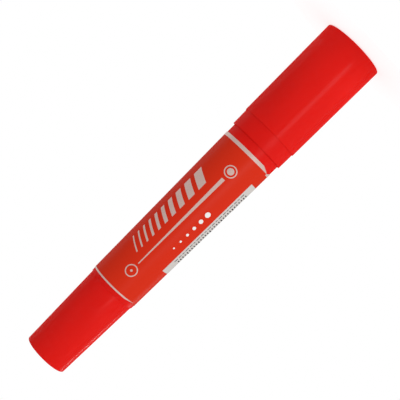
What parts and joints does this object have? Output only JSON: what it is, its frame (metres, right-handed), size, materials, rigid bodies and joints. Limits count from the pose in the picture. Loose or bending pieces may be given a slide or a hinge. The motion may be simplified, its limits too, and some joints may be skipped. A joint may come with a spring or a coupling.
{
  "type": "double-ended marker",
  "caption": "Round double-ended permanent marker with a broad chisel end and a fine bullet end, each under a pull-off cap, and a printed conical barrel.",
  "frame": {"origin": "centre of the broad cap's flat end face, on which the marker stands", "axes": "+Z along the marker's axis from the broad end to the fine end, +X along the broad nib's width"},
  "size_m": [0.022, 0.022, 0.14],
  "materials": {
    "moulded_red": "satin moulded polypropylene",
    "printed_film": "printed film",
    "inner_cap_white": "natural polyethylene",
    "clear_film": "clear film and tube",
    "inked_felt": "inked polyester fibre"
  },
  "bodies": {
    "broad_cap": {"broad_cap": "moulded_red", "broad_inner_cap": "inner_cap_white"},
    "barrel": {"barrel": "moulded_red", "print_sleeve": "printed_film", "broad_section": "moulded_red", "broad_nib": "inked_felt", "ink_reservoir": "inked_felt", "reservoir_film": "clear_film", "breather_tube": "clear_film", "fine_section": "moulded_red", "fine_nib": "inked_felt"},
    "fine_cap": {"fine_cap": "moulded_red", "fine_inner_cap": "inner_cap_white"}
  },
  "joints": [
    {"name": "broad_cap_pull", "type": "slide", "parent": "broad_cap", "child": "barrel", "axis": [0, 0, 1], "range_m": [0, 0.045]},
    {"name": "fine_cap_pull", "type": "slide", "parent": "barrel", "child": "fine_cap", "axis": [0, 0, 1], "range_m": [0, 0.035]}
  ]
}
